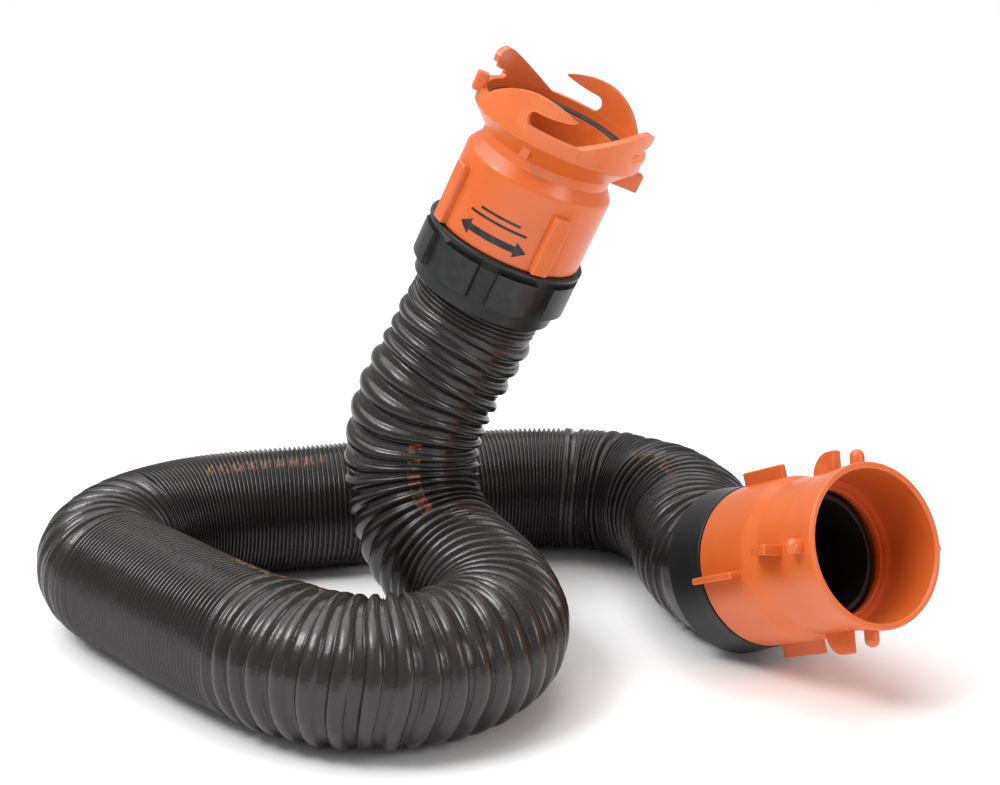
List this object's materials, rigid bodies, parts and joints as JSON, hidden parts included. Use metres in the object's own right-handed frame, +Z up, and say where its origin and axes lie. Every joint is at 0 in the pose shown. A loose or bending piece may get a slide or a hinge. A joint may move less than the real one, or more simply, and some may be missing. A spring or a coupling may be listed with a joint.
{
  "type": "sewer hose kit",
  "caption": "Corrugated drain hose lying in a loose loop, with a swivelling lug sleeve on one end and a swivelling clawed bayonet on the other, each held by a black locking ring.",
  "frame": {"origin": "on the ground, under the middle of the two fittings", "axes": "+Z up from the ground the hose lies on; the hose lies along X behind and to the left of the fittings"},
  "size_m": [0.5702, 0.4169, 0.3764],
  "materials": {
    "hose_vinyl": "glossy ribbed extrusion, near black",
    "orange_plastic": "moulded, semi-gloss orange",
    "black_plastic": "moulded, satin black",
    "seal_rubber": "matt black rubber",
    "spring_steel": "drawn spring steel"
  },
  "bodies": {
    "hose_assembly": {"hose": "hose_vinyl", "lug_hose_adapter": "black_plastic", "lug_swivel_seal": "seal_rubber", "lug_snap_ring": "spring_steel", "bayonet_hose_adapter": "black_plastic", "bayonet_swivel_seal": "seal_rubber", "bayonet_snap_ring": "spring_steel"},
    "lug_fitting": {"lug_body": "orange_plastic"},
    "lug_ring": {"lug_locking_ring": "black_plastic"},
    "bayonet_fitting": {"bayonet_body": "orange_plastic", "bayonet_gasket": "seal_rubber"},
    "bayonet_ring": {"bayonet_locking_ring": "black_plastic"}
  },
  "joints": [
    {"name": "lug_swivel", "type": "hinge", "parent": "hose_assembly", "child": "lug_fitting", "pos_m": [0.06158, -0.00728, 0.06105], "axis": [0.5021, -0.7615, 0.4099], "continuous": true},
    {"name": "lug_ring_turn", "type": "hinge", "parent": "hose_assembly", "child": "lug_ring", "pos_m": [0.05153, 0.00795, 0.05285], "axis": [0.5021, -0.7615, 0.4099], "range_deg": [0, 60]},
    {"name": "bayonet_swivel", "type": "hinge", "parent": "hose_assembly", "child": "bayonet_fitting", "pos_m": [-0.1005, 0.0633, 0.2562], "axis": [0.4033, -0.1365, 0.9048], "continuous": true},
    {"name": "bayonet_ring_turn", "type": "hinge", "parent": "hose_assembly", "child": "bayonet_ring", "pos_m": [-0.10857, 0.06603, 0.2381], "axis": [0.4033, -0.1365, 0.9048], "range_deg": [0, 60]}
  ]
}
